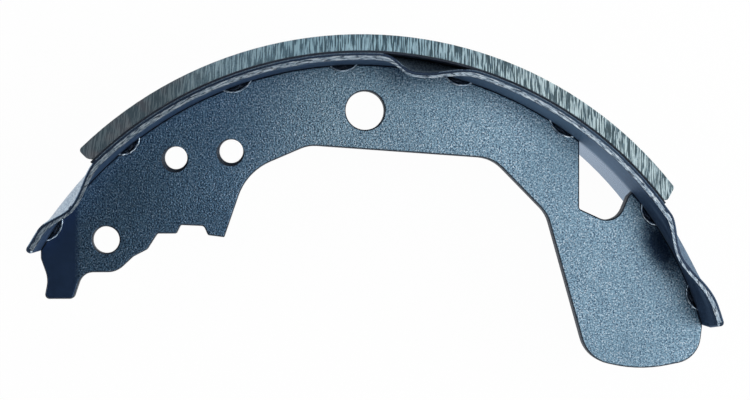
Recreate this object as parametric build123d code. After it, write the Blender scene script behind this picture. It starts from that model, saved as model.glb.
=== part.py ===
"""Drum brake shoe with a bonded lining, lying on one side edge of its rolled table.

Everything is drawn about the drum's axis. A place on the arc is an angle in degrees, clockwise
from +Y seen from above, and a radius. Z runs across the shoe, along the drum's axis. At the end
each piece is moved so that the origin is the middle of the shoe's footprint, on the surface that
it lies on. Lengths are in millimetres.
"""
import math
import os

from build123d import *

# ------------------------------------------------------------------ driving dimensions
# Rolled table (the curved rim) and what is bonded to it
drum_radius = 114.3             # the lining's rubbing face: a 9 inch drum
lining_thickness = 4.65
bond_thickness = 0.55
table_thickness = 2.1
table_width = 42.0              # across the shoe
lining_width = 41.0
bond_inset = 0.4                # how far the cement stays in from the lining's edges

table_start = -61.1             # angle of the strip's toe end
table_end = 74.25               # angle of its heel end
table_corner_radius = 1.5
heel_cut = 1.4                  # how far the heel end is cut back along the arc at its corners
heel_cut_width = 12.0           # and how far across
lining_start = -44.8
lining_end = 52.8
lining_end_lean = 24.0          # how far the heel end of the lining leans back, in degrees
lining_corner_radius = 1.1

# Rest pads, where the strip's upper edge is pressed inwards
toe_pad_angles = (-57.6, -51.7, -44.0)      # start, deepest place and end
toe_pad_depth = 3.1
toe_pad_height = 15.0                       # how far it reaches down from the edge
crown_pad_angles = (2.3, 8.1, 18.0)
crown_pad_depth = 3.9
crown_pad_height = 11.0
heel_pad_angles = (54.6, 61.2, 70.4)
heel_pad_depth = 3.4
heel_pad_height = 12.0
pad_thinning_depth = 0.55       # how much the strip is thinned at the bottom of a press
pad_levels = 8                  # bands of the surface from the plain strip to a press

# Stamped web
web_thickness = 4.0
edge_radius = 0.5               # rounding that the punch leaves round the upper face
web_start = -60.8               # angle where the web leaves the table, toe end
web_end = 74.2                  # and heel end

# Toe: the narrow foot at one end. Measured in from the web's start, and down from it
toe_neck_down = 2.3
toe_waist_in = 2.1
toe_waist_down = 8.2
toe_foot_in = 1.0
toe_foot_width = 8.4
toe_length = 14.15
shoulder_start = -49.53         # angle of the table that the shoulder begins under
shoulder_end = -41.93
shoulder_down = 6.4

# Step, strut notch and finger. Measured from the table above the step, across and down
step_angle = -33.85
rise_start_length = 7.1         # the wavy rise from the shoulder starts this far before the step
rise_start_depth = 38.56
rise_length = 4.1
rise_depth = 36.46
step_depth = 31.76
step_length = 5.6
notch_width = 8.0
notch_rise = 2.5
notch_side = 1.2                # run of the notch's sloping sides
notch_tilt = 0.3                # how much the notch's roof falls away from the step
finger_depth = 32.86
finger_width = 4.8
finger_tilt = 0.6               # how much lower the finger's end is at its inner corner

# Arch between the finger and the leg. The table's angle above each corner, and the corner's
# depth below the table's crown
finger_root_angle = -18.19
finger_root_depth = 31.7
arch_left_angle = -8.17
arch_left_depth = 23.85
arch_right_angle = 21.66
arch_right_depth = 27.6
haunch_angle = 31.46
haunch_depth = 44.2

# Heel: the broad rounded pad. Measured in from the web's end, and down from it
leg_foot_in = 34.9
leg_foot_down = 9.7
heel_low_in = 19.0
heel_low_down = 13.3
heel_tip_in = 1.2
heel_tip_down = 9.9

# Corner radii of the web's outline, from the toe end to the heel end
toe_neck_radius = 3.0
toe_waist_radius = 8.0
toe_corner_radius = 1.3
shoulder_root_radius = 4.5
shoulder_end_radius = 6.0
rise_radius = 3.0
rise_end_radius = 2.0
step_radius = 1.0
notch_entry_radius = 0.6
notch_roof_radius = 0.8
notch_end_radius = 1.2
finger_inner_radius = 0.8
finger_end_radius = 0.3
finger_root_radius = 17.0
arch_left_radius = 10.0
arch_right_radius = 11.0
haunch_radius = 10.0
leg_foot_radius = 10.4
heel_low_radius = 40.0
heel_tip_radius = 8.5

# Round holes. The inset is from the table's inner face to the hole's centre
pivot_hole_angle = -53.4
pivot_hole_inset = 14.2
pivot_hole_diameter = 7.85
hold_down_angle = 0.9
hold_down_inset = 13.5
hold_down_diameter = 11.5
outer_spring_angle = -34.3
outer_spring_inset = 10.9
outer_spring_diameter = 6.7
inner_spring_angle = -25.0
inner_spring_inset = 17.2
inner_spring_diameter = 7.0
rim_width = 0.6                 # the spring holes' bevelled rims lie a little off centre
rim_depth = 1.2
rim_offset_x = -0.25
rim_offset_y = -0.45

# Window, open to the table. Measured across and down from its upper straight corner
window_angle = 37.8
window_side_length = 20.2
window_low_width = 11.0
window_low_depth = 25.2
window_rise_width = 14.7
window_rise_depth = 16.5
window_side_corner_radius = 0.9
window_low_corner_radius = 5.2
window_horn_radius = 1.5

# Projection welds, each in a scallop of the web's outer edge
weld_angles = [-56.8, -39.3, -19.8, -2.7, 15.8, 34.3, 54.2, 69.3]
scallop_width = 8.2
scallop_depth = 1.7
weld_length = 5.6
weld_inset = 0.5                # the weld stays this far below each face of the web
weld_radius = 0.45

# ------------------------------------------------------------------ worked-out sizes
lining_inner = drum_radius - lining_thickness
table_outer = lining_inner - bond_thickness
table_inner = table_outer - table_thickness
table_middle = (table_inner + table_outer) / 2
web_bottom = (table_width - web_thickness) / 2
web_top = web_bottom + web_thickness
bond_width = lining_width - 2 * bond_inset
rise_start_x = -rise_start_length
rise_end_x = rise_start_x + rise_length
scallop_radius = (scallop_width**2 / 4 + scallop_depth**2) / (2 * scallop_depth)
beyond = 2 * table_thickness    # how far a cut runs past the edge that it opens

pads = [                        # angles, depth, and reach down from the edge
    (toe_pad_angles, toe_pad_depth, toe_pad_height),
    (crown_pad_angles, crown_pad_depth, crown_pad_height),
    (heel_pad_angles, heel_pad_depth, heel_pad_height),
]
plain_holes = [                 # angle, distance in from the table, and diameter
    (pivot_hole_angle, pivot_hole_inset, pivot_hole_diameter),
    (hold_down_angle, hold_down_inset, hold_down_diameter),
]
spring_holes = [
    (outer_spring_angle, outer_spring_inset, outer_spring_diameter),
    (inner_spring_angle, inner_spring_inset, inner_spring_diameter),
]


# ------------------------------------------------------------------ places on the arc
def at(angle, radius):
    """The point at this angle and radius from the drum's axis."""
    turn = math.radians(angle)
    return Vector(radius * math.sin(turn), radius * math.cos(turn))


def along(angle):
    """The direction clockwise round the arc at this angle."""
    turn = math.radians(angle)
    return Vector(math.cos(turn), -math.sin(turn))


def arc(start, end, radius):
    """The arc about the drum's axis between two angles."""
    return ThreePointArc(at(start, radius), at((start + end) / 2, radius), at(end, radius))


def ring_sector(start, end, inner, outer):
    """The flat face between two angles and two radii."""
    sides = Line(at(start, inner), at(start, outer)) + Line(at(end, inner), at(end, outer))
    return make_face(arc(start, end, inner) + arc(start, end, outer) + sides)


def slab(face, low, high):
    """A flat face drawn at z = 0, made solid between two heights."""
    return Pos(0, 0, low) * extrude(face, high - low)


# ------------------------------------------------------------------ table
def press_line(angles, radius, depth):
    """One face of the strip across a press: it dips in by depth and comes back to the arc."""
    start, deepest, end = angles
    points = [at(start, radius), at(deepest, radius - depth), at(end, radius)]
    return Spline(*points, tangents=[along(start), along(deepest), along(end)])


def press_section(angles, depth, share):
    """The strip's section across a press, with this share of the full depth."""
    start, _, end = angles
    if share == 0:
        return ring_sector(start, end, table_inner, table_outer)
    inner_face = press_line(angles, table_inner, depth * share)
    outer_face = press_line(angles, table_outer, (depth + pad_thinning_depth) * share)
    toe_side = Line(at(start, table_inner), at(start, table_outer))
    heel_side = Line(at(end, table_inner), at(end, table_outer))
    return make_face(inner_face + outer_face + toe_side + heel_side)


def pressed_edge(angles, depth, reach):
    """The upper part of the strip at one rest pad, pressed in more and more towards the edge."""
    sections = []
    for level in range(pad_levels + 1):
        rise = level / pad_levels
        share = (1 - math.cos(math.pi * rise)) / 2
        height = table_width - reach * (1 - rise)
        sections.append(Pos(0, 0, height) * press_section(angles, depth, share))
    return loft(sections, ruled=True)


def end_corners(strip, angle):
    """The strip's two corner edges at this angle."""
    corners = ShapeList()
    for height in (0, table_width):
        place = at(angle, table_middle) + Vector(0, 0, height)
        corners.append(strip.edges().sort_by_distance(place)[0])
    return corners


def make_table():
    """The rolled strip, with its edge pressed in at the pads and its ends trimmed."""
    strip = slab(ring_sector(table_start, table_end, table_inner, table_outer), 0, table_width)
    for angles, _, reach in pads:
        clearing = ring_sector(angles[0], angles[-1], table_inner - beyond, table_outer + beyond)
        strip -= slab(clearing, table_width - reach, table_width)
    for pad in pads:
        strip += pressed_edge(*pad)
    strip = fillet(end_corners(strip, table_start), table_corner_radius)
    heel_place = at(table_end, table_middle) + Vector(0, 0, table_width / 2)
    heel_face = strip.faces().sort_by_distance(heel_place)[0]
    heel_corners = end_corners(strip, table_end)
    strip = chamfer(heel_corners, heel_cut_width, heel_cut, reference=heel_face)
    cut_end = table_end - math.degrees(heel_cut / table_inner)
    return fillet(end_corners(strip, cut_end), table_corner_radius)


# ------------------------------------------------------------------ web
def web_outline():
    """The stamping's outline: one chain of corners from the toe end to the heel end, and the arc."""
    toe = at(web_start, table_inner)
    heel = at(web_end, table_inner)
    step = at(step_angle, table_inner)
    crown = Vector(0, table_inner)

    def corner(origin, across, down, radius):
        return origin + Vector(across, -down), radius

    def under(angle):
        return at(angle, table_inner).X

    foot_end = toe_foot_in + toe_foot_width
    notch_roof = step_depth - notch_rise
    notch_end = step_length + notch_width
    finger_start = notch_end + notch_side
    finger_end = finger_start + finger_width
    chain = [
        corner(toe, 0, toe_neck_down, toe_neck_radius),
        corner(toe, toe_waist_in, toe_waist_down, toe_waist_radius),
        corner(toe, toe_foot_in, toe_length, toe_corner_radius),
        corner(toe, foot_end, toe_length, toe_corner_radius),
        corner(toe, under(shoulder_start) - toe.X, shoulder_down, shoulder_root_radius),
        corner(toe, under(shoulder_end) - toe.X, shoulder_down, shoulder_end_radius),
        corner(step, rise_start_x, rise_start_depth, rise_radius),
        corner(step, rise_end_x, rise_depth, rise_end_radius),
        corner(step, 0, step_depth, step_radius),
        corner(step, step_length, step_depth, notch_entry_radius),
        corner(step, step_length + notch_side, notch_roof, notch_roof_radius),
        corner(step, notch_end, notch_roof + notch_tilt, notch_end_radius),
        corner(step, finger_start, finger_depth - finger_tilt, finger_inner_radius),
        corner(step, finger_end, finger_depth, finger_end_radius),
        corner(crown, under(finger_root_angle), finger_root_depth, finger_root_radius),
        corner(crown, under(arch_left_angle), arch_left_depth, arch_left_radius),
        corner(crown, under(arch_right_angle), arch_right_depth, arch_right_radius),
        corner(crown, under(haunch_angle), haunch_depth, haunch_radius),
        corner(heel, -leg_foot_in, leg_foot_down, leg_foot_radius),
        corner(heel, -heel_low_in, heel_low_down, heel_low_radius),
        corner(heel, -heel_tip_in, heel_tip_down, heel_tip_radius),
    ]
    corners = [place for place, _ in chain]
    radii = [radius for _, radius in chain]
    free_edge = FilletPolyline(toe, *corners, heel, radius=radii)
    return make_face(free_edge + arc(web_start, web_end, table_inner))


def window_outline():
    """The window beside the leg. Its upper side runs past the web's edge, so it opens there."""
    corner = at(window_angle, table_inner)
    above = Vector(0, beyond)

    def down_from(across, down):
        return corner + Vector(across, -down)

    horn = down_from(window_rise_width, window_rise_depth)
    outside = horn + Vector(window_horn_radius, window_horn_radius) * beyond
    chain = [
        corner + above,
        down_from(0, window_side_length),
        down_from(window_low_width, window_low_depth),
        horn,
        outside,
    ]
    radii = [window_side_corner_radius, window_low_corner_radius, window_horn_radius]
    rim = FilletPolyline(*chain, radius=radii)
    return make_face(rim + Polyline(outside, outside + above, corner + above))


def scallop_circle(angle):
    """The circle whose edge bites the scallop for one weld out of the web's outer edge."""
    centre = at(angle, table_inner + scallop_radius - scallop_depth)
    return Pos(centre) * Circle(scallop_radius)


def round_hole(angle, inset, diameter):
    """One hole through the web."""
    return slab(Pos(at(angle, table_inner - inset)) * Circle(diameter / 2), web_bottom, web_top)


def spring_rim(angle, inset, diameter):
    """The bevel round the upper mouth of a spring hole, cut at 45 degrees."""
    centre = at(angle, table_inner - inset) + Vector(rim_offset_x, rim_offset_y)
    mouth = diameter / 2 + rim_width
    bevel = Cone(mouth - rim_depth, mouth, rim_depth)
    return Pos(centre.X, centre.Y, web_top - rim_depth / 2) * bevel


def make_web():
    """The flat stamping, with the punch's rounding on its upper face."""
    blank = web_outline() - window_outline()
    for angle in weld_angles:
        blank -= scallop_circle(angle)
    plate = slab(blank, web_bottom, web_top)
    for hole in plain_holes:
        plate -= round_hole(*hole)
    upper_face = plate.faces().sort_by(Axis.Z)[-1]
    plate = fillet(upper_face.edges(), edge_radius)
    for hole in spring_holes:
        plate -= round_hole(*hole) + spring_rim(*hole)
    return plate


# ------------------------------------------------------------------ welds, bond and lining
def make_weld(angle):
    """The nugget that joins the web's scallop to the table."""
    middle = Pos(at(angle, table_inner)) * Rot(0, 0, -angle)
    band = middle * Rectangle(weld_length, 2 * scallop_radius)
    nugget = scallop_circle(angle) & Circle(table_inner) & band
    bead = slab(nugget, web_bottom + weld_inset, web_top - weld_inset)
    ends = bead.faces().sort_by(Axis.Z)
    return fillet(ends[0].edges() + ends[-1].edges(), weld_radius)


def across(face, width):
    """A flat face made solid to this width, centred across the shoe."""
    return slab(face, (table_width - width) / 2, (table_width + width) / 2)


def make_bond():
    """The film of cement between the table and the lining."""
    return across(ring_sector(lining_start, lining_end, table_outer, lining_inner), bond_width)


def make_lining():
    """The moulded friction block, with its two outer corners rounded."""
    lean = lining_thickness * math.tan(math.radians(lining_end_lean))
    outer_end = lining_end - math.degrees(lean / drum_radius)
    toe_side = Line(at(lining_start, lining_inner), at(lining_start, drum_radius))
    heel_side = Line(at(lining_end, lining_inner), at(outer_end, drum_radius))
    inner_face = arc(lining_start, lining_end, lining_inner)
    rubbing_face = arc(lining_start, outer_end, drum_radius)
    block = across(make_face(inner_face + rubbing_face + toe_side + heel_side), lining_width)
    corners = ShapeList()
    for end in (lining_start, outer_end):
        place = at(end, drum_radius) + Vector(0, 0, table_width / 2)
        corners.append(block.edges().sort_by_distance(place)[0])
    return fillet(corners, lining_corner_radius)


# ------------------------------------------------------------------ the shoe
pieces = {
    "table": make_table(),
    "web": make_web(),
    "bond_layer": make_bond(),
    "lining": make_lining(),
}
for number, angle in enumerate(weld_angles, start=1):
    pieces[f"weld_{number}"] = make_weld(angle)

footprint = Compound(children=[Part() + piece for piece in pieces.values()]).bounding_box()
to_origin = Pos(-footprint.center().X, -footprint.center().Y, -footprint.min.Z)

os.makedirs("parts", exist_ok=True)
for name, piece in pieces.items():
    export_step(to_origin * piece, f"parts/{name}.step")
    print(f"{name}: {piece.volume:.1f} mm3, valid {piece.is_valid}")
print("drum's axis at", to_origin.position)
print("footprint", footprint.size)
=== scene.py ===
# %% [markdown]
# # A drum brake shoe
# The shoe is a strip of steel rolled to the drum's curve, the table, with a flat stamping, the
# web, welded inside it and a block of friction lining cemented outside it. Its solids come
# measured from the CAD step. What is left for Blender is what makes the metal look
# like metal: softened edges, the marks of each tool, the finishes, the light and the camera.

# %% Load the solids
import math

import bmesh
import bpy
from mathutils import Matrix, Vector


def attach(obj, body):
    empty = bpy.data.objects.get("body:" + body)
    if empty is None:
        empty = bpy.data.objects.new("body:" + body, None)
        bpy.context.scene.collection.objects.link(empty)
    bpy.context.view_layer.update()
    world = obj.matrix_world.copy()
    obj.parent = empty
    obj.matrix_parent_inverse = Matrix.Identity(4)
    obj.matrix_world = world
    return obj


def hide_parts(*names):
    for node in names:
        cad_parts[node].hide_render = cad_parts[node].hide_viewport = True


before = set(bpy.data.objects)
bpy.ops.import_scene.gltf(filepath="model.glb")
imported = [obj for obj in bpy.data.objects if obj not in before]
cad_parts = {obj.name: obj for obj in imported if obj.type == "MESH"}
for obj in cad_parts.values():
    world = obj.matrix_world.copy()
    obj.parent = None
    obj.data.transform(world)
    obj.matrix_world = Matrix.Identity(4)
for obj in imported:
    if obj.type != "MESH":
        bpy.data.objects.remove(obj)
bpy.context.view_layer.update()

MM = 0.001
scene = bpy.context.scene
print("solids:", ", ".join(sorted(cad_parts)))

# %% [markdown]
# ## Camera
# The shoe lies on one edge of its table and is seen from straight above, from half a metre. The
# lens stands a little left of the middle and leans a few degrees, so the inner walls on the right
# can be seen and those on the left can't. A matrix built from two turns says that exactly.

# %% The camera, straight above
CAMERA_PLACE = (-34.955, 4.785, 516.74)   # mm
TURN_X, TURN_Y = -0.384, -4.012           # degrees
FOCAL_LENGTH, SENSOR_WIDTH = 80.306, 36   # mm

lens = bpy.data.cameras.new("camera_above")
lens.sensor_width = SENSOR_WIDTH
lens.lens = FOCAL_LENGTH
camera = bpy.data.objects.new("camera_above", lens)
scene.collection.objects.link(camera)

lean_x = Matrix.Rotation(math.radians(TURN_X), 4, "X")
lean_y = Matrix.Rotation(math.radians(TURN_Y), 4, "Y")
stand = Matrix.Translation([way * MM for way in CAMERA_PLACE])
camera.matrix_world = stand @ lean_x @ lean_y
scene.camera = camera
print("camera", round(camera.location.z / MM), "mm above the floor")

# %% [markdown]
# ## Colours and nodes
# Colours are written as they look on a screen, in sRGB hex. The renderer counts light, so one
# function turns them to linear values. Another adds one node to a material, with its settings
# and its links, so that each finish below reads as a short list of steps.


# %% Two helpers for every finish
SHARE, UNDER, OVER, MIXED = 0, 6, 7, 2   # the sockets of a mix that are for colours


def linear(colour):
    """An sRGB hex colour as the linear value that the renderer counts in."""
    shares = [int(colour[place : place + 2], 16) / 255 for place in (1, 3, 5)]
    return (*[s / 12.92 if s <= 0.04045 else ((s + 0.055) / 1.055) ** 2.4 for s in shares], 1)


def add(tree, kind, sockets=(), **settings):
    """Adds one node. Each socket gets a value, or a link when it is given another's output."""
    made = tree.nodes.new(kind)
    for setting, value in settings.items():
        setattr(made, setting, value)
    for socket, value in dict(sockets).items():
        if isinstance(value, bpy.types.NodeSocket):
            tree.links.new(value, made.inputs[socket])
        else:
            made.inputs[socket].default_value = value
    return made


print("mid grey is", round(linear("#808080")[0], 3))

# %% [markdown]
# ## Floor and light
# The shoe lies on white paper. To the camera and in the metal's reflections the paper is white,
# and it keeps a trace of real shading, so that the shoe's soft shadow still falls on it. Its far
# edge curves up, so that the sides of the shoe are seen against white too.
#
# One large soft panel hangs above, well to the right. A flat coat of metal shows the panel as a
# broad glow, strong at the right end and fading to the left: that is most of what gives the web
# its colour. Four smaller panels stand low round the shoe, the brightest on the right. They give
# the upright walls something to show. A dim room does the rest.


# %% White paper
def clear_selection():
    """Nothing stays selected, so the next operator works on its own piece only."""
    bpy.ops.object.select_all(action="DESELECT")


PAPER_RADIUS = 2.6   # metres, of its flat part
CURL_RINGS = 6       # of faces in its raised edge
RING_TURN = 13       # degrees that each ring stands steeper than the one before
RING_RISE = 0.3      # metres that a ring would rise if it stood upright
RING_GROWTH = 0.12   # share that a ring would add to the radius if it lay flat

clear_selection()
bpy.ops.mesh.primitive_circle_add(vertices=96, radius=PAPER_RADIUS, fill_type="NGON")
paper = bpy.context.object
paper.name = "paper_floor"
bpy.ops.object.mode_set(mode="EDIT")
bpy.ops.mesh.select_all(action="DESELECT")
bpy.ops.mesh.select_mode(type="EDGE")
bpy.ops.mesh.select_non_manifold()
for ring in range(1, CURL_RINGS + 1):
    turn = math.radians(RING_TURN * ring)
    rise = (0, 0, RING_RISE * math.sin(turn))
    bpy.ops.mesh.extrude_edges_move(TRANSFORM_OT_translate={"value": rise})
    widen = 1 + RING_GROWTH * math.cos(turn)
    bpy.ops.transform.resize(value=(widen, widen, 1))
bpy.ops.object.mode_set(mode="OBJECT")
print("paper", len(paper.data.polygons), "faces")

# %% What the paper sends back
WHITE_SHARE = 0.975   # how much of the paper is plain white to the camera

plain_paper = bpy.data.materials.new("matt_paper")
plain_paper.use_nodes = True
tree = plain_paper.node_tree
tree.nodes.clear()
ray = add(tree, "ShaderNodeLightPath").outputs
seen = add(tree, "ShaderNodeMath", {0: ray["Is Camera Ray"], 1: ray["Is Glossy Ray"]},
           operation="ADD")
seen = add(tree, "ShaderNodeMath", {0: seen.outputs[0], 1: ray["Is Transmission Ray"]},
           operation="ADD")
share = add(tree, "ShaderNodeMath", {0: seen.outputs[0], 1: WHITE_SHARE}, operation="MULTIPLY")
matt = add(tree, "ShaderNodeBsdfDiffuse", {"Color": linear("#f7f7f7")})
white = add(tree, "ShaderNodeEmission", {"Color": linear("#ffffff"), "Strength": 1.0})
mix = add(tree, "ShaderNodeMixShader",
          {0: share.outputs[0], 1: matt.outputs[0], 2: white.outputs[0]})
add(tree, "ShaderNodeOutputMaterial", {"Surface": mix.outputs[0]})
paper.data.materials.append(plain_paper)
print("paper shows", round(1 - WHITE_SHARE, 3), "of its own shading")

# %% Soft panels and a dim room
# Name, place and the place it faces in metres, side in metres, power in watts.
PANELS = [
    ("sky_panel", (0.40, 0.0, 0.92), (0.40, 0.0, 0.0), 0.76, 2.3),
    ("right_panel", (0.95, 0.10, 0.50), (0.0, 0.0, 0.0), 0.6, 7.0),
    ("left_panel", (-0.95, 0.10, 0.50), (0.0, 0.0, 0.0), 0.6, 3.5),
    ("back_panel", (0.2, 0.95, 0.50), (0.0, 0.0, 0.0), 0.6, 4.0),
    ("front_panel", (0.2, -0.95, 0.50), (0.0, 0.0, 0.0), 0.6, 4.0),
]
for name, place, aim, side, power in PANELS:
    bpy.ops.object.light_add(type="AREA", location=place)
    panel = bpy.context.object
    panel.name = name
    panel.data.size = side
    panel.data.energy = power
    panel.rotation_euler = (Vector(aim) - Vector(place)).to_track_quat("-Z", "Y").to_euler()

room = bpy.data.worlds.new("dim_room")
room.use_nodes = True
air = room.node_tree.nodes["Background"].inputs
air["Color"].default_value = linear("#d5e0ea")
air["Strength"].default_value = 0.04
scene.world = room
scene.view_settings.view_transform = "Standard"

# %% [markdown]
# ## Patterns in real millimetres
# Every finish starts from the same place: the piece's own coordinates, turned to millimetres, so
# a noise of scale 1 / 0.45 has grains 0.45 mm wide on the real shoe.


# %% Start of a finish
def start_finish(name, even):
    """A new material with its even values set. Returns it, its tree, its shader, places in mm."""
    finish = bpy.data.materials.new(name)
    finish.use_nodes = True
    tree = finish.node_tree
    shader = tree.nodes["Principled BSDF"]
    for socket, value in even.items():
        shader.inputs[socket].default_value = value
    metres = add(tree, "ShaderNodeTexCoord").outputs["Object"]
    places = add(tree, "ShaderNodeMapping", {"Vector": metres, "Scale": (1 / MM,) * 3})
    return finish, tree, shader, places.outputs[0]


def grain(tree, places, width, stretch=(1, 1, 1), detail=2.0):
    """Noise whose grains are this many millimetres wide, drawn out along the stretched axes."""
    scale = tuple(1 / (width * share) for share in stretch)
    drawn = add(tree, "ShaderNodeMapping", {"Vector": places, "Scale": scale})
    sockets = {"Vector": drawn.outputs[0], "Scale": 1.0, "Detail": detail}
    return add(tree, "ShaderNodeTexNoise", sockets).outputs["Fac"]


DRUM_AXIS = Vector((-4.745, -65.495, 0))   # in mm; the shoe stands round it
STRIP_RADIUS = 108.0                       # mm from that axis to the middle of the strip


def along_strip(tree, places):
    """Places told by the way round the drum's axis, out from it and up, all in mm."""
    shifted = add(tree, "ShaderNodeMapping", {"Vector": places, "Location": -DRUM_AXIS})
    axes = add(tree, "ShaderNodeSeparateXYZ", {0: shifted.outputs[0]}).outputs
    turn = add(tree, "ShaderNodeMath", {0: axes["X"], 1: axes["Y"]}, operation="ARCTAN2")
    way = add(tree, "ShaderNodeMath", {0: turn.outputs[0], 1: STRIP_RADIUS}, operation="MULTIPLY")
    flat = add(tree, "ShaderNodeCombineXYZ", {0: axes["X"], 1: axes["Y"]})
    out = add(tree, "ShaderNodeVectorMath", {0: flat.outputs[0]}, operation="LENGTH")
    told = {0: way.outputs[0], 1: out.outputs["Value"], 2: axes["Z"]}
    return add(tree, "ShaderNodeCombineXYZ", told).outputs[0]


print("patterns are measured in millimetres")

# %% [markdown]
# ## Web: phosphated sheet steel
# The web is cut from hot-rolled sheet and dipped in a phosphate bath. The bath leaves a thin
# crust of fine crystals, a dull blue-grey with the steel's shine under it, neither paint nor bare
# metal. A plain grey metal would look like tin. Here crystals half a millimetre wide make the
# colour uneven, the largest of them pale as sparks, and a little relief lets single grains catch
# the panel. The real crystals are finer, but they would not show from half a metre.
#
# Three things vary over the sheet: faint lines from the rolls, cloudy stains and a few dark specks.
# Painted shade makes the coat darker and bluer towards the toe end, and darker still at the very
# tip, which is smooth. Beside the table at the heel end a soft dark patch is the strip's painted
# shadow.

# %% Phosphated sheet
# The painted shadow beside the heel pad is centred 112 mm round the strip from the crown and
# 104.2 mm out from the drum's axis, and it is 1 / 0.45 times as long as it is wide.
HEEL_SHADOW_SCALE, HEEL_SHADOW_PLACE = (0.45, 1.0, 0.0), (-50.5, -104.2, 0.0)
HEEL_SHADOW_RAGGED = 3.0                         # mm that clusters of crystals shift its border
TIP_SHADE_FROM, TIP_SHADE_TO = -86.6, -88.4   # mm along X

sheet, tree, shader, places = start_finish("phosphated_sheet_steel", {"Metallic": 1.0})

crystals = grain(tree, places, 0.5, detail=1.0)
sparks = grain(tree, places, 0.42, detail=0.0)
spots = add(tree, "ShaderNodeTexVoronoi", {"Vector": places, "Scale": 1 / 13}).outputs["Distance"]
clusters = grain(tree, places, 1.3, detail=2.0)
rolling = grain(tree, places, 0.7, stretch=(1, 12, 1), detail=2.0)
cloud = grain(tree, places, 26.0, detail=3.0)

fine = add(tree, "ShaderNodeMapRange", {"Value": crystals, "From Min": 0.36, "From Max": 0.64})
coat = add(tree, "ShaderNodeMix",
           {SHARE: fine.outputs[0], UNDER: linear("#3a5066"), OVER: linear("#8dadc2")},
           data_type="RGBA")
spark = add(tree, "ShaderNodeMapRange", {"Value": sparks, "From Min": 0.6, "From Max": 0.7,
                                         "To Min": 0.0, "To Max": 0.7})
coat = add(tree, "ShaderNodeMix",
           {SHARE: spark.outputs[0], UNDER: coat.outputs[MIXED], OVER: linear("#d5e6f2")},
           data_type="RGBA")
lines = add(tree, "ShaderNodeMapRange", {"Value": rolling, "From Min": 0.42, "From Max": 0.66,
                                         "To Min": 0.0, "To Max": 0.35})
coat = add(tree, "ShaderNodeMix",
           {SHARE: lines.outputs[0], UNDER: coat.outputs[MIXED], OVER: linear("#8fb0c3")},
           data_type="RGBA")
stain = add(tree, "ShaderNodeMapRange", {"Value": cloud, "From Min": 0.4, "From Max": 0.7,
                                         "To Min": 0.0, "To Max": 0.35})
coat = add(tree, "ShaderNodeMix",
           {SHARE: stain.outputs[0], UNDER: coat.outputs[MIXED], OVER: linear("#5c788b")},
           data_type="RGBA")
gloss = add(tree, "ShaderNodeMapRange", {"Value": clusters, "From Min": 0.3, "From Max": 0.7,
                                         "To Min": 0.29, "To Max": 0.33})

across = add(tree, "ShaderNodeSeparateXYZ", {0: places}).outputs["X"]
# Painted shade: the coat is multiplied darker and bluer towards the toe end.
painted_shade_to_toe = add(tree, "ShaderNodeMapRange", {"Value": across, "From Min": -15.0, "From Max": -45.0})
coat = add(tree, "ShaderNodeMix",
           {SHARE: painted_shade_to_toe.outputs[0], UNDER: coat.outputs[MIXED], OVER: linear("#d3e1f3")},
           data_type="RGBA", blend_type="MULTIPLY")
# Painted shadow: a soft dark patch on the web beside the strip at the heel pad, its border made
# ragged by clusters of crystals.
heel_shadow_reach = add(tree, "ShaderNodeMapping", {"Vector": along_strip(tree, places),
                                           "Scale": HEEL_SHADOW_SCALE, "Location": HEEL_SHADOW_PLACE})
heel_shadow_reach = add(tree, "ShaderNodeVectorMath", {0: heel_shadow_reach.outputs[0]}, operation="LENGTH")
uneven = add(tree, "ShaderNodeMath", {0: clusters, 1: HEEL_SHADOW_RAGGED,
                                      2: heel_shadow_reach.outputs["Value"]}, operation="MULTIPLY_ADD")
scorch_and_painted_shadow = add(tree, "ShaderNodeMapRange", {"Value": uneven.outputs[0],
                                          "From Min": 3.4, "From Max": 6.6,
                                          "To Min": 0.92, "To Max": 0.0})
coat = add(tree, "ShaderNodeMix",
           {SHARE: scorch_and_painted_shadow.outputs[0], UNDER: coat.outputs[MIXED], OVER: linear("#26374e")},
           data_type="RGBA")
# Painted shade: the tip is painted darker and bluer, and the coat's relief is left off there.
painted_shade_tip = add(tree, "ShaderNodeMapRange", {"Value": across, "From Min": TIP_SHADE_FROM,
                                            "From Max": TIP_SHADE_TO})
coat = add(tree, "ShaderNodeMix",
           {SHARE: painted_shade_tip.outputs[0], UNDER: coat.outputs[MIXED], OVER: linear("#476189")},
           data_type="RGBA")
crisp = add(tree, "ShaderNodeMapRange", {"Value": painted_shade_tip.outputs[0],
                                         "To Min": 1.0, "To Max": 0.0})
speck = add(tree, "ShaderNodeMapRange", {"Value": spots, "From Min": 0.022, "From Max": 0.034,
                                         "To Min": 0.8, "To Max": 0.0})
coat = add(tree, "ShaderNodeMix",
           {SHARE: speck.outputs[0], UNDER: coat.outputs[MIXED], OVER: linear("#1f2b3b")},
           data_type="RGBA")
relief = add(tree, "ShaderNodeBump", {"Height": crystals, "Strength": crisp.outputs[0],
                                      "Distance": 0.07 * MM})
tree.links.new(coat.outputs[MIXED], shader.inputs["Base Color"])
tree.links.new(gloss.outputs[0], shader.inputs["Roughness"])
tree.links.new(relief.outputs[0], shader.inputs["Normal"])
print("crystals of 0.5 mm in", sheet.name)

# %% [markdown]
# ## Web: punched walls
# The punch shears the first third of the wall smooth and tears the rest. The bath darkens the
# tear most, so the walls are dull and nearly black, with lines running straight through the sheet.

# %% Punched walls
punched, tree, shader, places = start_finish("punched_steel_wall", {"Metallic": 0.3})

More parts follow.
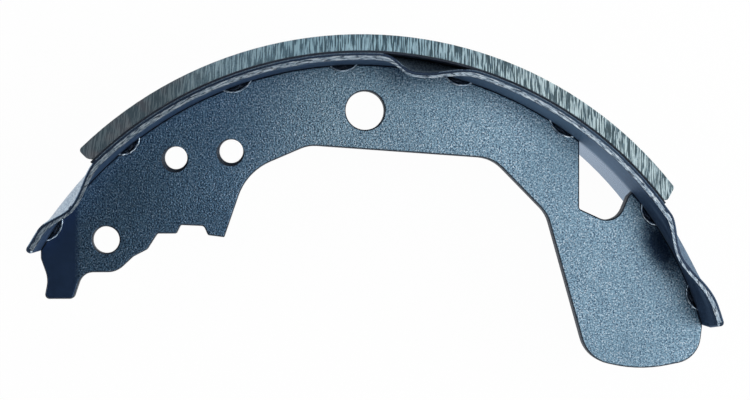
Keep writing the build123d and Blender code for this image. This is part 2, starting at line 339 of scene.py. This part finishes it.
drag = grain(tree, places, 0.35, stretch=(1, 1, 12))
tear = grain(tree, places, 0.9)
streak = add(tree, "ShaderNodeMapRange", {"Value": drag, "From Min": 0.3, "From Max": 0.7})
wall = add(tree, "ShaderNodeMix",
           {SHARE: streak.outputs[0], UNDER: linear("#141c28"), OVER: linear("#3a4654")},
           data_type="RGBA")
dull = add(tree, "ShaderNodeMapRange", {"Value": tear, "To Min": 0.5, "To Max": 0.75})
relief = add(tree, "ShaderNodeBump", {"Height": drag, "Strength": 1.0, "Distance": 0.03 * MM})
tree.links.new(wall.outputs[MIXED], shader.inputs["Base Color"])
tree.links.new(dull.outputs[0], shader.inputs["Roughness"])
tree.links.new(relief.outputs[0], shader.inputs["Normal"])
print("drag lines of 0.35 mm in", punched.name)

# %% [markdown]
# ## Table: rolled strip
# The strip has been through the rolls, so it is smoother than the web and takes the same bath
# darker, a satin blue-black with a blue shine. Its lower half, below the web, is smoother still,
# and seen at a shallow angle it mirrors the paper under it; there its colour is also painted paler,
# a painted reflection of the lit paper. One long run of thin coat lies towards the heel end. The
# strip's outer corner under the lining is darker: partly cement from the lining, partly painted
# shade.

# %% Rolled strip
RUN_MIDDLE = 60.0   # mm round the strip from the crown, of the long run of thin coat

strip, tree, shader, places = start_finish(
    "phosphated_rolled_strip", {"Metallic": 0.55, "Specular Tint": linear("#a4c2de")})

rolled = along_strip(tree, places)
crystals = grain(tree, places, 0.6, detail=3.0)
smears = grain(tree, rolled, 3.0, stretch=(5, 1, 1), detail=3.0)
fine = add(tree, "ShaderNodeMapRange", {"Value": crystals, "From Min": 0.3, "From Max": 0.7})
coat = add(tree, "ShaderNodeMix",
           {SHARE: fine.outputs[0], UNDER: linear("#243348"), OVER: linear("#3f5370")},
           data_type="RGBA")
thin = add(tree, "ShaderNodeMapRange", {"Value": smears, "From Min": 0.45, "From Max": 0.7,
                                        "To Min": 0.0, "To Max": 0.5})
coat = add(tree, "ShaderNodeMix",
           {SHARE: thin.outputs[0], UNDER: coat.outputs[MIXED], OVER: linear("#5a7089")},
           data_type="RGBA")
way = add(tree, "ShaderNodeSeparateXYZ", {0: rolled}).outputs["X"]
away = add(tree, "ShaderNodeMath", {0: way, 1: RUN_MIDDLE}, operation="SUBTRACT")
away = add(tree, "ShaderNodeMath", {0: away.outputs[0]}, operation="ABSOLUTE")
run = add(tree, "ShaderNodeMapRange", {"Value": away.outputs[0], "From Min": 34.0, "From Max": 14.0,
                                       "To Min": 0.0, "To Max": 0.5})
coat = add(tree, "ShaderNodeMix",
           {SHARE: run.outputs[0], UNDER: coat.outputs[MIXED], OVER: linear("#7391ad")},
           data_type="RGBA")
height = add(tree, "ShaderNodeSeparateXYZ", {0: places}).outputs["Z"]
# Painted reflection: below the web the coat is painted paler, standing for the paper's light.
painted_light_below_web = add(tree, "ShaderNodeMapRange", {"Value": height, "From Min": 24.0, "From Max": 14.0,
                                         "To Min": 0.0, "To Max": 0.4})
coat = add(tree, "ShaderNodeMix",
           {SHARE: painted_light_below_web.outputs[0], UNDER: coat.outputs[MIXED], OVER: linear("#7896b2")},
           data_type="RGBA")
# Partly cement, partly painted shade: the outer corner under the lining is painted darker.
cement_and_painted_shade_rim = add(tree, "ShaderNodeMapRange", {"Value": height, "From Min": 40.7, "From Max": 41.3,
                                       "To Min": 0.0, "To Max": 0.75})
coat = add(tree, "ShaderNodeMix",
           {SHARE: cement_and_painted_shade_rim.outputs[0], UNDER: coat.outputs[MIXED], OVER: linear("#172030")},
           data_type="RGBA")
satin = add(tree, "ShaderNodeMapRange", {"Value": height, "From Min": 20.0, "From Max": 25.0,
                                         "To Min": 0.12, "To Max": 0.5})
gloss = add(tree, "ShaderNodeMapRange", {"Value": smears, "To Min": -0.05, "To Max": 0.1})
gloss = add(tree, "ShaderNodeMath", {0: satin.outputs[0], 1: gloss.outputs[0]}, operation="ADD")
relief = add(tree, "ShaderNodeBump", {"Height": crystals, "Strength": 1.0, "Distance": 0.012 * MM})
tree.links.new(coat.outputs[MIXED], shader.inputs["Base Color"])
tree.links.new(gloss.outputs[0], shader.inputs["Roughness"])
tree.links.new(relief.outputs[0], shader.inputs["Normal"])
print("satin strip:", strip.name)

# %% [markdown]
# ## Table: burnished presses
# The rest pads were pressed into the strip's edge, and the punch rubbed the bath's coat off the
# slopes that it made at the toe and the crown. They are bright, with faint lines the way the
# punch went, down.

# %% Burnished slopes
burnished, tree, shader, places = start_finish("burnished_strip", {"Metallic": 0.75})

rubbed = grain(tree, places, 0.5, stretch=(1, 1, 9), detail=2.0)
patches = grain(tree, places, 3.0, detail=2.0)
line = add(tree, "ShaderNodeMapRange", {"Value": rubbed, "From Min": 0.35, "From Max": 0.65})
steel = add(tree, "ShaderNodeMix",
            {SHARE: line.outputs[0], UNDER: linear("#6884a2"), OVER: linear("#a9bfd1")},
            data_type="RGBA")
gloss = add(tree, "ShaderNodeMapRange", {"Value": patches, "To Min": 0.25, "To Max": 0.42})
relief = add(tree, "ShaderNodeBump", {"Height": rubbed, "Strength": 1.0, "Distance": 0.01 * MM})
tree.links.new(steel.outputs[MIXED], shader.inputs["Base Color"])
tree.links.new(gloss.outputs[0], shader.inputs["Roughness"])
tree.links.new(relief.outputs[0], shader.inputs["Normal"])
print("rubbed bright:", burnished.name)

# %% [markdown]
# ## Table: blasted outside
# Cement holds on a rough face, so the strip's outside is blasted with grit before the lining goes
# on. It takes the bath dull and even. The half towards the toe stayed as rolled.

# %% Blasted face
blasted, tree, shader, places = start_finish("blasted_strip", {"Metallic": 0.3, "Roughness": 0.7})

dents = grain(tree, places, 0.6, detail=3.0)
dulled = grain(tree, places, 7.0, detail=3.0)
fine = add(tree, "ShaderNodeMapRange", {"Value": dents, "From Min": 0.3, "From Max": 0.7})
coat = add(tree, "ShaderNodeMix",
           {SHARE: fine.outputs[0], UNDER: linear("#344b62"), OVER: linear("#5d7890")},
           data_type="RGBA")
thin = add(tree, "ShaderNodeMapRange", {"Value": dulled, "From Min": 0.4, "From Max": 0.7,
                                        "To Min": 0.0, "To Max": 0.4})
coat = add(tree, "ShaderNodeMix",
           {SHARE: thin.outputs[0], UNDER: coat.outputs[MIXED], OVER: linear("#6f8ba1")},
           data_type="RGBA")
relief = add(tree, "ShaderNodeBump", {"Height": dents, "Strength": 1.0, "Distance": 0.04 * MM})
tree.links.new(coat.outputs[MIXED], shader.inputs["Base Color"])
tree.links.new(relief.outputs[0], shader.inputs["Normal"])
print("grit dents of 0.6 mm in", blasted.name)

# %% [markdown]
# ## Table: sheared edge
# The strip is slit to width, and its edge rubs on every shelf and jig. The bath has worn off
# there, so the edge is bright steel with lines drawn along it and dark nicks.

# %% Sheared edge
sheared, tree, shader, places = start_finish("sheared_steel_edge", {"Metallic": 1.0})

slit = along_strip(tree, places)
drawn = grain(tree, slit, 0.35, stretch=(9, 1, 1), detail=2.0)
bright = grain(tree, slit, 0.4, stretch=(3, 1, 1), detail=1.0)
nicks = grain(tree, slit, 0.5, stretch=(5, 1, 1), detail=2.0)
fine = add(tree, "ShaderNodeMapRange", {"Value": bright, "From Min": 0.3, "From Max": 0.7})
steel = add(tree, "ShaderNodeMix",
            {SHARE: fine.outputs[0], UNDER: linear("#5a6f84"), OVER: linear("#b0c2d0")},
            data_type="RGBA")
lines = add(tree, "ShaderNodeMapRange", {"Value": drawn, "From Min": 0.5, "From Max": 0.58,
                                         "To Min": 0.0, "To Max": 0.75})
steel = add(tree, "ShaderNodeMix",
            {SHARE: lines.outputs[0], UNDER: steel.outputs[MIXED], OVER: linear("#d8e4ec")},
            data_type="RGBA")
dark = add(tree, "ShaderNodeMapRange", {"Value": nicks, "From Min": 0.54, "From Max": 0.62,
                                        "To Min": 0.0, "To Max": 0.85})
steel = add(tree, "ShaderNodeMix",
            {SHARE: dark.outputs[0], UNDER: steel.outputs[MIXED], OVER: linear("#223044")},
            data_type="RGBA")
gloss = add(tree, "ShaderNodeMapRange", {"Value": nicks, "To Min": 0.36, "To Max": 0.56})
relief = add(tree, "ShaderNodeBump", {"Height": bright, "Strength": 1.0, "Distance": 0.05 * MM})
tree.links.new(steel.outputs[MIXED], shader.inputs["Base Color"])
tree.links.new(gloss.outputs[0], shader.inputs["Roughness"])
tree.links.new(relief.outputs[0], shader.inputs["Normal"])
print("worn bright:", sheared.name)

# %% [markdown]
# ## Lining: friction compound
# The lining is pressed from resin, mineral fibre and metal dust, then sawn to width and ground to
# the drum's radius. The saw tears pale fibres out of the flat side and drags them all one way, so
# the side is covered in short pale strokes. Near the toe end the side is smooth and its colour is
# painted darker as painted shade, with faint brown scorches. The middle of the block is a little
# deeper in colour. The ground face has the same grains, cut flat.

# %% Sawn side of the lining
FAN_LEVEL = 20.0      # mm along Y; the strokes draw together above it and spread below it
DARKER_MIDDLE = -8.0   # mm along X, of the darker middle
STROKE_SHARE = 0.4    # how strongly the finest strokes show

sawn, tree, shader, places = start_finish("sawn_friction_compound", {"Roughness": 0.85})

axes = add(tree, "ShaderNodeSeparateXYZ", {0: places}).outputs
rise = add(tree, "ShaderNodeMath", {0: axes["Y"], 1: FAN_LEVEL}, operation="SUBTRACT")
lean = add(tree, "ShaderNodeMapRange", {"Value": axes["X"], "From Min": -20.0, "From Max": 40.0,
                                        "To Min": 0.0016, "To Max": 0.0002})
lean = add(tree, "ShaderNodeMath", {0: rise.outputs[0], 1: lean.outputs[0]}, operation="MULTIPLY")
fan = add(tree, "ShaderNodeMath", {0: axes["X"], 1: lean.outputs[0], 2: axes["X"]},
          operation="MULTIPLY_ADD")
fanned = add(tree, "ShaderNodeCombineXYZ", {0: fan.outputs[0], 1: axes["Y"], 2: axes["Z"]})
fanned = fanned.outputs[0]

strokes = grain(tree, fanned, 0.32, stretch=(1, 9, 9), detail=2.0)
furrows = grain(tree, fanned, 0.34, stretch=(1, 14, 14), detail=2.0)
grit = grain(tree, places, 0.45, detail=3.0)
patches = grain(tree, places, 9.0, detail=2.0)
# Painted shade: towards the toe end the side is painted darker and its pale strokes fade out.
torn_clear_of_painted_shade = add(tree, "ShaderNodeMapRange", {"Value": axes["X"], "From Min": -60.0, "From Max": -42.0,
                                        "To Min": 0.03, "To Max": 1.0}).outputs[0]
ragged = add(tree, "ShaderNodeMapRange", {"Value": axes["X"], "From Min": -62.0, "From Max": 0.0,
                                          "To Min": 0.1, "To Max": 1.0}).outputs[0]

fine = add(tree, "ShaderNodeMapRange", {"Value": grit, "From Min": 0.3, "From Max": 0.7})
side = add(tree, "ShaderNodeMix",
           {SHARE: fine.outputs[0], UNDER: linear("#374f5b"), OVER: linear("#667f8d")},
           data_type="RGBA")
side = add(tree, "ShaderNodeMix",
           {SHARE: torn_clear_of_painted_shade, UNDER: linear("#2d3d47"), OVER: side.outputs[MIXED]},
           data_type="RGBA")
tone = add(tree, "ShaderNodeMapRange", {"Value": patches, "From Min": 0.35, "From Max": 0.7,
                                        "To Min": 0.0, "To Max": 0.3})
tone = add(tree, "ShaderNodeMath", {0: tone.outputs[0], 1: torn_clear_of_painted_shade}, operation="MULTIPLY")
side = add(tree, "ShaderNodeMix",
           {SHARE: tone.outputs[0], UNDER: side.outputs[MIXED], OVER: linear("#86a2ae")},
           data_type="RGBA")
scorch_and_painted_shadow = add(tree, "ShaderNodeMapRange", {"Value": patches, "From Min": 0.5, "From Max": 0.62,
                                          "To Min": 0.0, "To Max": 0.5})
clean_painted_shade_end = add(tree, "ShaderNodeMath", {0: 1.0, 1: torn_clear_of_painted_shade}, operation="SUBTRACT")
scorch_and_painted_shadow = add(tree, "ShaderNodeMath", {0: scorch_and_painted_shadow.outputs[0], 1: clean_painted_shade_end.outputs[0]},
             operation="MULTIPLY")
side = add(tree, "ShaderNodeMix",
           {SHARE: scorch_and_painted_shadow.outputs[0], UNDER: side.outputs[MIXED], OVER: linear("#544c50")},
           data_type="RGBA")
pale = add(tree, "ShaderNodeMapRange", {"Value": strokes, "From Min": 0.5, "From Max": 0.6})
pale = add(tree, "ShaderNodeMath", {0: pale.outputs[0], 1: torn_clear_of_painted_shade}, operation="MULTIPLY")
pale = add(tree, "ShaderNodeMath", {0: pale.outputs[0], 1: STROKE_SHARE}, operation="MULTIPLY")
side = add(tree, "ShaderNodeMix",
           {SHARE: pale.outputs[0], UNDER: side.outputs[MIXED], OVER: linear("#9ab5c0")},
           data_type="RGBA")
ridge = add(tree, "ShaderNodeMapRange", {"Value": furrows, "From Min": 0.5, "From Max": 0.55})
ridge = add(tree, "ShaderNodeMath", {0: ridge.outputs[0], 1: ragged}, operation="MULTIPLY")
side = add(tree, "ShaderNodeMix",
           {SHARE: ridge.outputs[0], UNDER: side.outputs[MIXED], OVER: linear("#bfd4d9")},
           data_type="RGBA")
furrow = add(tree, "ShaderNodeMapRange", {"Value": furrows, "From Min": 0.48, "From Max": 0.43})
furrow = add(tree, "ShaderNodeMath", {0: furrow.outputs[0], 1: ragged}, operation="MULTIPLY")
side = add(tree, "ShaderNodeMix",
           {SHARE: furrow.outputs[0], UNDER: side.outputs[MIXED], OVER: linear("#42565d")},
           data_type="RGBA")
# The middle of the block is multiplied a little darker.
away = add(tree, "ShaderNodeMath", {0: axes["X"], 1: DARKER_MIDDLE}, operation="SUBTRACT")
away = add(tree, "ShaderNodeMath", {0: away.outputs[0]}, operation="ABSOLUTE")
darker_middle = add(tree, "ShaderNodeMapRange", {"Value": away.outputs[0],
                                         "From Min": 55.0, "From Max": 15.0})
side = add(tree, "ShaderNodeMix",
           {SHARE: darker_middle.outputs[0], UNDER: side.outputs[MIXED], OVER: linear("#cddfe9")},
           data_type="RGBA", blend_type="MULTIPLY")
relief = add(tree, "ShaderNodeBump", {"Height": furrows, "Strength": 0.8, "Distance": 0.06 * MM})
tree.links.new(side.outputs[MIXED], shader.inputs["Base Color"])
tree.links.new(relief.outputs[0], shader.inputs["Normal"])
print("strokes 0.32 mm and furrows 0.34 mm wide in", sawn.name)

# %% Ground face of the lining
ground, tree, shader, places = start_finish("ground_friction_compound", {"Roughness": 0.8})

grit = grain(tree, places, 0.9, detail=3.0)
chips = grain(tree, places, 1.6, detail=1.0)
lap = grain(tree, places, 0.5, stretch=(1, 1, 14))
fine = add(tree, "ShaderNodeMapRange", {"Value": grit, "From Min": 0.3, "From Max": 0.7})
face = add(tree, "ShaderNodeMix",
           {SHARE: fine.outputs[0], UNDER: linear("#3f4b4d"), OVER: linear("#7d8a89")},
           data_type="RGBA")
chip = add(tree, "ShaderNodeMapRange", {"Value": chips, "From Min": 0.64, "From Max": 0.68,
                                        "To Min": 0.0, "To Max": 0.8})
face = add(tree, "ShaderNodeMix",
           {SHARE: chip.outputs[0], UNDER: face.outputs[MIXED], OVER: linear("#b9b29b")},
           data_type="RGBA")
scored = add(tree, "ShaderNodeMapRange", {"Value": lap, "From Min": 0.5, "From Max": 0.7,
                                          "To Min": 0.0, "To Max": 0.3})
face = add(tree, "ShaderNodeMix",
           {SHARE: scored.outputs[0], UNDER: face.outputs[MIXED], OVER: linear("#99a5a2")},
           data_type="RGBA")
relief = add(tree, "ShaderNodeBump", {"Height": grit, "Strength": 0.6, "Distance": 0.06 * MM})
tree.links.new(face.outputs[MIXED], shader.inputs["Base Color"])
tree.links.new(relief.outputs[0], shader.inputs["Normal"])
print("grit 0.9 mm wide in", ground.name)

# %% [markdown]
# ## Cement and welds
# The lining is held by a film of phenolic cement, cured nearly black. The projection welds are
# small dark nuggets, burnt rough, with a thin curl of metal squeezed out round each.

# %% Cement
cement, tree, shader, places = start_finish("cured_phenolic_cement", {"Roughness": 0.6})

lumps = grain(tree, places, 1.1, detail=3.0)
film = add(tree, "ShaderNodeMix",
           {SHARE: lumps, UNDER: linear("#0c1522"), OVER: linear("#202f44")},
           data_type="RGBA")
relief = add(tree, "ShaderNodeBump", {"Height": lumps, "Strength": 0.7, "Distance": 0.1 * MM})
tree.links.new(film.outputs[MIXED], shader.inputs["Base Color"])
tree.links.new(relief.outputs[0], shader.inputs["Normal"])

# %% Burnt weld metal
burnt, tree, shader, places = start_finish("burnt_weld_metal", {"Metallic": 0.6})

scale = grain(tree, places, 0.5, detail=4.0)
pits = grain(tree, places, 0.9, detail=2.0)
fine = add(tree, "ShaderNodeMapRange", {"Value": scale, "From Min": 0.35, "From Max": 0.7})
metal = add(tree, "ShaderNodeMix",
            {SHARE: fine.outputs[0], UNDER: linear("#151d2a"), OVER: linear("#46566a")},
            data_type="RGBA")
gloss = add(tree, "ShaderNodeMapRange", {"Value": pits, "To Min": 0.35, "To Max": 0.6})
relief = add(tree, "ShaderNodeBump", {"Height": scale, "Strength": 1.0, "Distance": 0.12 * MM})
tree.links.new(metal.outputs[MIXED], shader.inputs["Base Color"])
tree.links.new(gloss.outputs[0], shader.inputs["Roughness"])
tree.links.new(relief.outputs[0], shader.inputs["Normal"])
print("finishes:", [m.name for m in (cement, burnt)])

# %% [markdown]
# ## Softened edges
# Nothing that is rolled, sheared or sawn has a perfectly sharp edge, and a sharp one catches no
# light. The CAD meshes can't be changed, so each of the three large pieces is copied, its loose
# triangles merged, its sharp edges found by their angle and rounded by a few tenths of a
# millimetre. The copy then stands for the solid.


# %% A copy to work on
MERGE_GAP = 0.002 * MM                  # corners closer than this are one
FLAT_ANGLE = math.radians(0.4)          # faces that meet at less are one flat face
SHARP_ANGLE = math.radians(38)          # an edge is rounded if its faces meet at more
SMOOTH_ANGLE = math.radians(32)         # and shaded smooth if they meet at less


def copy_solid(node, name):
    """A copy of a solid with its loose triangles merged into whole faces, open in edit mode."""
    clear_selection()
    piece = bpy.data.objects.new(name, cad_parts[node].data.copy())
    scene.collection.objects.link(piece)
    piece.select_set(True)
    bpy.context.view_layer.objects.active = piece
    bpy.ops.object.mode_set(mode="EDIT")
    bpy.ops.mesh.select_all(action="SELECT")
    bpy.ops.mesh.remove_doubles(threshold=MERGE_GAP)
    bpy.ops.mesh.customdata_custom_splitnormals_clear()
    bpy.ops.mesh.dissolve_limited(angle_limit=FLAT_ANGLE)
    bpy.ops.mesh.select_mode(type="EDGE")
    return piece


def round_and_hand_over(piece, node, width):
    """Rounds every edge that is still sharp to this width in mm. The piece replaces its solid."""
    bpy.ops.object.mode_set(mode="OBJECT")
    rounding = piece.modifiers.new("softened edges", "BEVEL")
    rounding.width = width * MM
    rounding.segments = 3
    rounding.limit_method = "ANGLE"
    rounding.angle_limit = SHARP_ANGLE
    bpy.ops.object.modifier_apply(modifier=rounding.name)
    bpy.ops.object.shade_smooth_by_angle(angle=SMOOTH_ANGLE)
    levelling = piece.modifiers.new("flat faces stay flat", "WEIGHTED_NORMAL")
    levelling.keep_sharp = True
    bpy.ops.object.modifier_apply(modifier=levelling.name)
    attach(piece, "root")
    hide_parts(node)
    flat = sum(face.area for face in piece.data.polygons if face.normal.z > 0.99)
    print(piece.name, len(piece.data.polygons), "faces, flat on top", round(flat / MM**2, 1), "mm2")


web_plate = copy_solid("web", "web_plate")
round_and_hand_over(web_plate, "web", 0.15)

# %% [markdown]
# ## Rounded ends of the lining
# The lining's ends were dressed on a belt after it was sawn, so their upright corners are rounder
# than its long edges. They are found as the sharp edges that run straight up.

# %% Upright corners of the lining
LINING_CORNERS = ((-1, 1.9), (1, 1.5))   # the side of X = 0 they lie on, their bevel in mm
CORNER_ANGLE = math.radians(45)          # a corner's faces meet at more than this
UPRIGHT = 0.98                           # an upright edge rises by this share of its length

lining_block = copy_solid("lining", "lining_block")
for side, width in LINING_CORNERS:
    bpy.ops.mesh.select_all(action="DESELECT")
    shape = bmesh.from_edit_mesh(lining_block.data)
    for edge in shape.edges:
        way = (edge.verts[1].co - edge.verts[0].co).normalized()
        sharp = len(edge.link_faces) == 2 and edge.calc_face_angle() > CORNER_ANGLE
        if sharp and abs(way.z) > UPRIGHT and edge.verts[0].co.x * side > 0:
            edge.select_set(True)
    bmesh.update_edit_mesh(lining_block.data)
    bpy.ops.mesh.bevel(offset=width * MM, segments=5, clamp_overlap=False)
round_and_hand_over(lining_block, "lining", 0.25)

# %% [markdown]
# ## The strip's two edges
# Slitting leaves the strip's outer corners rounder than its inner ones, and its cut ends are
# dressed all round. Those corners are picked out by the faces beside them: a wall that points away
# from the drum's axis, or an end that points along the strip. They are bevelled first. The
# modifier then finds only the inner corners still sharp.

# %% Outer corners and ends of the strip
WALL_FACING = 0.7    # a wall's normal points out or in by more than this, of 1
RIM_FACING = 0.3     # a rim's by less, and an end's points along the strip by more
STRIP_BEVEL = 0.9    # mm

drum_axis = DRUM_AXIS * MM
table_strip = copy_solid("table", "table_strip")
bpy.ops.mesh.select_all(action="DESELECT")
shape = bmesh.from_edit_mesh(table_strip.data)
for edge in shape.edges:
    middle = (edge.verts[0].co + edge.verts[1].co) / 2
    out = Vector((middle.x - drum_axis.x, middle.y - drum_axis.y, 0)).normalized()
    along = Vector((-out.y, out.x, 0))
    walls = [face for face in edge.link_faces if abs(face.normal.dot(out)) > WALL_FACING]
    rims = [face for face in edge.link_faces if abs(face.normal.dot(out)) < RIM_FACING]
    if walls and rims:
        outer = walls[0].normal.dot(out) > 0
        at_end = abs(rims[0].normal.dot(along)) > RIM_FACING
        if outer or at_end:
            edge.select_set(True)
bmesh.update_edit_mesh(table_strip.data)
bpy.ops.mesh.bevel(offset=STRIP_BEVEL * MM, segments=4, clamp_overlap=False)
round_and_hand_over(table_strip, "table", 0.25)

# %% [markdown]
# ## Welds
# At eight places the web has a shallow bay, and between the bay and the strip lies a nugget of
# weld metal. The current squeezed a bead out along the bay's edge. The nugget starts as a sphere,
# pressed to the bay's size and made lumpy by a noise, and the bead as a small ring, spun along
# the bay. The pair is made once at the crown and then copied round the drum's axis.

# %% One nugget
BAY_CENTRE = drum_axis + Vector((0, 111.094, 0)) * MM         # of the web's bay at the crown
BAY_RADIUS = 5.794 * MM
WEB_TOP = 23.0 * MM
NUGGET_CENTRE = drum_axis + Vector((0, 106.35, 20.9)) * MM
NUGGET_SHAPE = (4.2, 1.2, 1.7)                                # its half sizes in mm

clear_selection()
bpy.ops.mesh.primitive_uv_sphere_add(segments=32, ring_count=16, radius=1 * MM,
                                     location=NUGGET_CENTRE)
nugget = bpy.context.object
nugget.name = "weld_nugget"
bpy.ops.transform.resize(value=NUGGET_SHAPE)
bpy.ops.object.transform_apply(location=True, rotation=True, scale=True)
slag = bpy.data.textures.new("slag", "CLOUDS")
slag.noise_scale = 1.1 * MM
lumps = nugget.modifiers.new("lumps", "DISPLACE")
lumps.texture = slag
lumps.strength = 0.9 * MM
bpy.ops.object.modifier_apply(modifier=lumps.name)
nugget.data.materials.append(burnt)
print("nugget", [round(side / MM, 1) for side in nugget.dimensions], "mm")

# %% The bead along the bay
HALF_SWEEP = math.radians(46)   # how far the bead reaches to each side of the bay's middle
BEAD_RADIUS = 0.3 * MM

clear_selection()
bead_start = BAY_CENTRE + BAY_RADIUS * Vector((-math.sin(HALF_SWEEP), -math.cos(HALF_SWEEP), 0))
bead_start.z = WEB_TOP
bpy.ops.mesh.primitive_circle_add(vertices=10, radius=BEAD_RADIUS, location=bead_start,
                                  rotation=(math.pi / 2, 0, math.pi / 2 - HALF_SWEEP))
bead = bpy.context.object
bead.name = "weld_bead"
bpy.ops.object.mode_set(mode="EDIT")
bpy.ops.mesh.select_all(action="SELECT")
bpy.ops.mesh.spin(steps=28, angle=-2 * HALF_SWEEP, center=(BAY_CENTRE.x, BAY_CENTRE.y, WEB_TOP),
                  axis=(0, 0, 1))
bpy.ops.mesh.select_all(action="SELECT")
bpy.ops.mesh.remove_doubles(threshold=0.001 * MM)
bpy.ops.mesh.fill_holes(sides=0)
bpy.ops.mesh.normals_make_consistent(inside=False)
bpy.ops.object.mode_set(mode="OBJECT")
ripple = bead.modifiers.new("ripple", "DISPLACE")
ripple.texture = slag
ripple.strength = 0.25 * MM
bpy.ops.object.modifier_apply(modifier=ripple.name)
bead.data.materials.append(sheared)
print("bead", [round(side / MM, 1) for side in bead.dimensions], "mm")

# %% Both joined, and copied to the eight bays
nugget.select_set(True)
bpy.context.view_layer.objects.active = nugget
bpy.ops.object.join()
bpy.ops.object.shade_smooth()
bpy.ops.object.transform_apply(location=True, rotation=True, scale=True)

WELD_ANGLES = [-56.8, -39.3, -19.8, -2.7, 15.8, 34.3, 54.2, 69.3]   # degrees from the crown
WIDTHS = [1.0, 0.94, 1.04, 0.97, 1.02, 1.05, 0.92, 0.96]            # times the nugget's

for number, (angle, wide) in enumerate(zip(WELD_ANGLES, WIDTHS), start=1):
    clear_selection()
    nugget.select_set(True)
    bpy.context.view_layer.objects.active = nugget
    bpy.ops.object.duplicate(linked=False)
    weld = bpy.context.object
    weld.name = f"weld_metal_{number}"
    turn = Matrix.Rotation(math.radians(-angle), 4, "Z")
    weld.data.transform(Matrix.Translation(drum_axis) @ turn
                        @ Matrix.Diagonal((wide, 1, 1, 1)) @ Matrix.Translation(-drum_axis))
    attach(weld, "root")
    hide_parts(f"weld_{number}")
bpy.data.objects.remove(nugget)
print("welds at", WELD_ANGLES, "degrees")

# %% [markdown]
# ## Which finish goes where
# The flat faces of a piece and its cut walls were made by different tools, so they get different
# finishes. The faces are told apart by the way they point. On the strip two narrow bands differ
# from the wall they belong to: the slopes that a press made, and the inner corner, which gets the
# edge's bright finish as a painted highlight. Its outside is blasted in the half towards the heel.


# %% Flat faces and walls
def finish_by_slope(piece, flat, wall, level):
    """The first finish on faces that point up or down by more than this, else the second."""
    piece.data.materials.clear()
    piece.data.materials.append(flat)
    piece.data.materials.append(wall)
    for face in piece.data.polygons:
        face.material_index = 0 if abs(face.normal.z) > level else 1


# How far the normal of a face points up or down, of 1.
RIM_LEVEL = 0.985                # the strip's cut edge, at least
WEB_LEVEL = 0.95                 # the web's flat faces, at least
LINING_LEVEL = 0.5               # the lining's sawn sides, at least
PRESSED = (0.03, 0.6)            # the slopes that a press made, up only
CORNER = (0.2, RIM_LEVEL)        # a softened corner of the strip

OUT, INWARDS = 0.5, -0.1         # how far it points away from the drum's axis: more, and less
CORNER_FACE = 0.4 * MM**2        # the faces of a softened corner are smaller than this
BLAST_START = 0.0                # along X, of the blasted half
HEEL_PRESS = 60 * MM             # the heel's press lies to the right of this
EDGE, SLOPE, OUTSIDE = 0, 2, 3   # where the strip's finishes lie in its list; its wall is 1

finish_by_slope(table_strip, sheared, strip, RIM_LEVEL)
table_strip.data.materials.append(burnished)
table_strip.data.materials.append(blasted)
for face in table_strip.data.polygons:
    rise = face.normal.z
    outwards = face.normal.dot((face.center - drum_axis).normalized())
    corner = face.area < CORNER_FACE and CORNER[0] < abs(rise) < CORNER[1]
    pressed = face.area > CORNER_FACE and PRESSED[0] < rise < PRESSED[1]
    if pressed and outwards > 0 and face.center.x < HEEL_PRESS:
        face.material_index = SLOPE     # where the toe's and the crown's press rubbed it
    elif pressed and outwards > 0:
        face.material_index = OUTSIDE   # the heel's press was blasted after it was made
    elif outwards > OUT and rise < PRESSED[0] and face.center.x > BLAST_START:
        face.material_index = OUTSIDE
    elif outwards < INWARDS and corner:
        face.material_index = EDGE      # the inner corner gets the edge's bright finish: a painted highlight
finish_by_slope(web_plate, sheet, punched, WEB_LEVEL)
finish_by_slope(lining_block, sawn, ground, LINING_LEVEL)
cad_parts["bond_layer"].material_slots[0].material = cement
